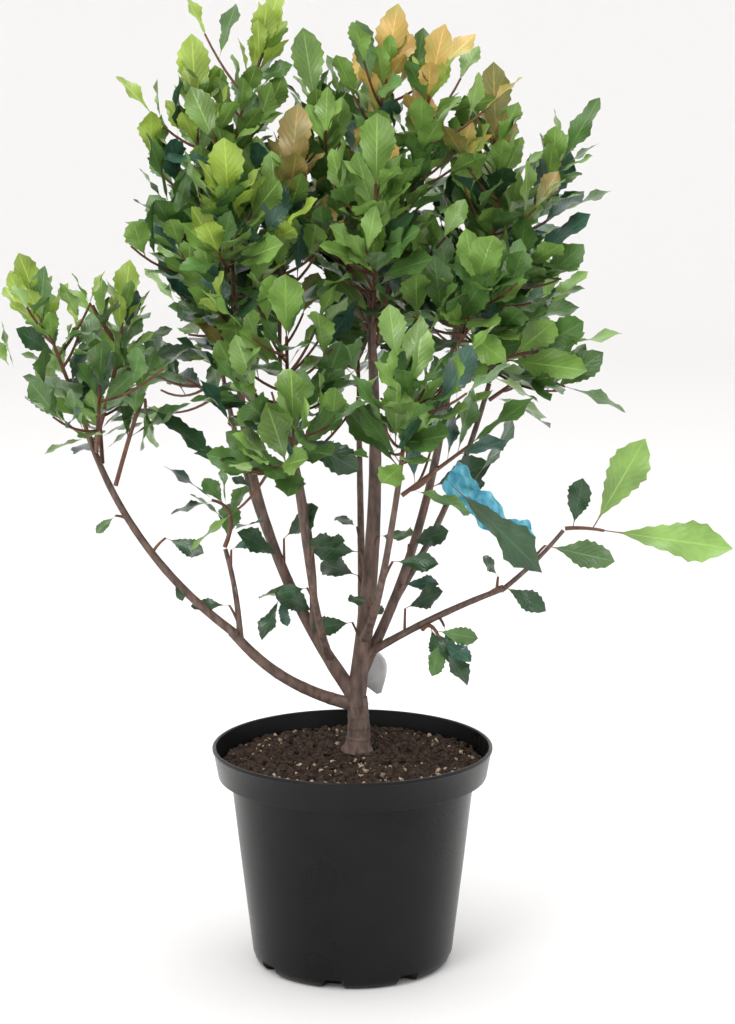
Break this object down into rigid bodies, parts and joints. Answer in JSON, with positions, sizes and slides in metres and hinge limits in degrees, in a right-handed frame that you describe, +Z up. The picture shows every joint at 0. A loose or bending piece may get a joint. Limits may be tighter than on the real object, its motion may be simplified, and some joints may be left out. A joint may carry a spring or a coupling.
{
  "type": "potted photinia",
  "caption": "Bushy evergreen photinia shrub with toothed glossy leaves and bronze young tips, in a round black nursery pot.",
  "frame": {"origin": "centre of the pot's flat underside", "axes": "+Z up along the pot's axis; the pictured front faces -Y"},
  "size_m": [0.4917, 0.3352, 0.657],
  "materials": {
    "pot": "satin",
    "soil": "rough",
    "bark": "rough",
    "leaf": "satin",
    "label": "satin",
    "tape": "satin"
  },
  "bodies": {
    "root": {"pot": "pot", "soil": "soil", "plant_label": "label", "marker_tape": "tape", "trunk": "bark", "leader": "bark", "bough_left_low": "bark", "bough_left_outer": "bark", "bough_left_inner": "bark", "bough_tower": "bark", "bough_mid_left": "bark", "bough_centre_right": "bark", "bough_right_low": "bark", "bough_right_end": "bark", "bough_front": "bark", "bough_front_left": "bark", "bough_back": "bark", "bough_back_left": "bark", "bough_back_right": "bark", "leaves_left_far": "leaf", "leaves_left_top": "leaf", "leaves_left_front": "leaf", "leaves_left_back": "leaf", "leaves_left_hook": "leaf", "leaves_left_arch": "leaf", "leaves_tower_top": "leaf", "leaves_tower_peak": "leaf", "leaves_tower_left": "leaf", "leaves_tower_low": "leaf", "leaves_tower_front": "leaf", "leaves_tower_back": "leaf", "leaves_mid_up": "leaf", "leaves_mid_front": "leaf", "leaves_mid_side": "leaf", "leaves_centre_top": "leaf", "leaves_centre_left": "leaf", "leaves_centre_right": "leaf", "leaves_centre_front": "leaf", "leaves_centre_back": "leaf", "leaves_right_top": "leaf", "leaves_right_tip": "leaf", "leaves_right_side": "leaf", "leaves_right_arm": "leaf", "leaves_right_front": "leaf", "leaves_right_back": "leaf", "leaves_front_up": "leaf", "leaves_front_right": "leaf", "leaves_front_left": "leaf", "leaves_front_side": "leaf", "leaves_back_up": "leaf", "leaves_back_left": "leaf", "leaves_back_side": "leaf", "leaves_back_right": "leaf", "leaves_back_far": "leaf", "leaves_right_end": "leaf", "leaves_right_low": "leaf", "leaves_left_hang": "leaf"}
  },
  "joints": []
}
